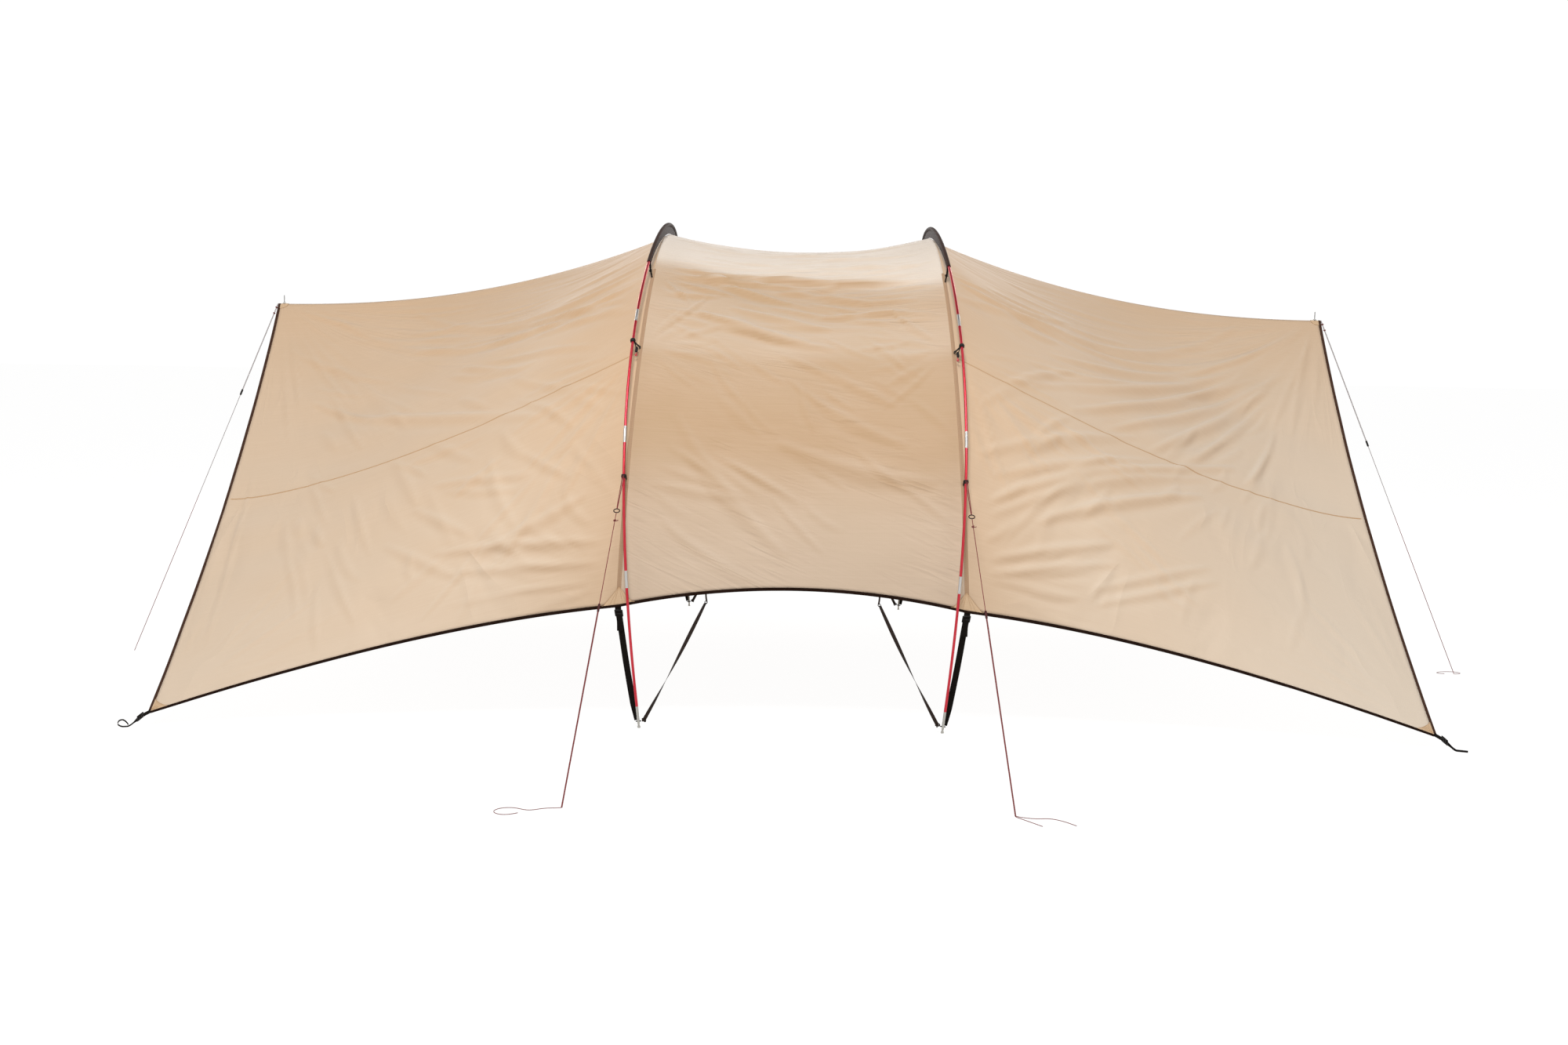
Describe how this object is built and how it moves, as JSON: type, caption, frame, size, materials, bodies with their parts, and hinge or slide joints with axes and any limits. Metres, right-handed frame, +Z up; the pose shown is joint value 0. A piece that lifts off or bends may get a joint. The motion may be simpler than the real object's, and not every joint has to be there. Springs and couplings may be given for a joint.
{
  "type": "tarp tent",
  "caption": "Tarp tent with a fabric vault hung under arched poles and a wing sloping from each arch, open at its ends and held out by guys and straps.",
  "frame": {"origin": "on the ground under the middle of the tent", "axes": "+X along the tent from the left wing to the right wing, +Y from the near side to the far side, +Z up"},
  "size_m": [6.4648, 5.7827, 2.1042],
  "materials": {
    "canopy_fabric": "matt woven cotton-polyester",
    "binding_tape": "matt woven tape",
    "sleeve_mesh": "open mesh",
    "red_anodised": "red anodised, satin",
    "bare_aluminium": "plain satin",
    "black_plastic": "moulded, satin",
    "black_webbing": "woven webbing",
    "guy_cord": "braided cord"
  },
  "bodies": {
    "root": {"vault_roof": "canopy_fabric", "vault_wall_near": "canopy_fabric", "vault_wall_far": "canopy_fabric", "wing_roof_left": "canopy_fabric", "wing_wall_near_left": "canopy_fabric", "wing_wall_far_left": "canopy_fabric", "wing_roof_right": "canopy_fabric", "wing_wall_near_right": "canopy_fabric", "wing_wall_far_right": "canopy_fabric", "hem_binding_near": "binding_tape", "hem_binding_far": "binding_tape", "edge_binding_left": "binding_tape", "arch_pole_left": "red_anodised", "pole_sleeve_left": "sleeve_mesh", "upright_pole_left": "bare_aluminium", "ridge_guy_left": "guy_cord", "pole_tip_near_left": "bare_aluminium", "pole_clip_upper_near_left": "black_plastic", "pole_clip_lower_near_left": "black_plastic", "foot_strap_near_left": "black_webbing", "brace_strap_near_left": "black_webbing", "corner_strap_near_left": "black_webbing", "arch_guy_near_left": "guy_cord", "pole_tip_far_left": "bare_aluminium", "pole_clip_upper_far_left": "black_plastic", "pole_clip_lower_far_left": "black_plastic", "foot_strap_far_left": "black_webbing", "brace_strap_far_left": "black_webbing", "corner_strap_far_left": "black_webbing", "arch_guy_far_left": "guy_cord", "edge_binding_right": "binding_tape", "arch_pole_right": "red_anodised", "pole_sleeve_right": "sleeve_mesh", "upright_pole_right": "bare_aluminium", "ridge_guy_right": "guy_cord", "pole_tip_near_right": "bare_aluminium", "pole_clip_upper_near_right": "black_plastic", "pole_clip_lower_near_right": "black_plastic", "foot_strap_near_right": "black_webbing", "brace_strap_near_right": "black_webbing", "corner_strap_near_right": "black_webbing", "arch_guy_near_right": "guy_cord", "pole_tip_far_right": "bare_aluminium", "pole_clip_upper_far_right": "black_plastic", "pole_clip_lower_far_right": "black_plastic", "foot_strap_far_right": "black_webbing", "brace_strap_far_right": "black_webbing", "corner_strap_far_right": "black_webbing", "arch_guy_far_right": "guy_cord", "tail_near_left": "guy_cord", "tail_near_right": "guy_cord", "tail_near_right_long": "guy_cord", "tail_far_left": "guy_cord", "tail_far_right": "guy_cord", "tail_ridge_right": "guy_cord"}
  },
  "joints": []
}
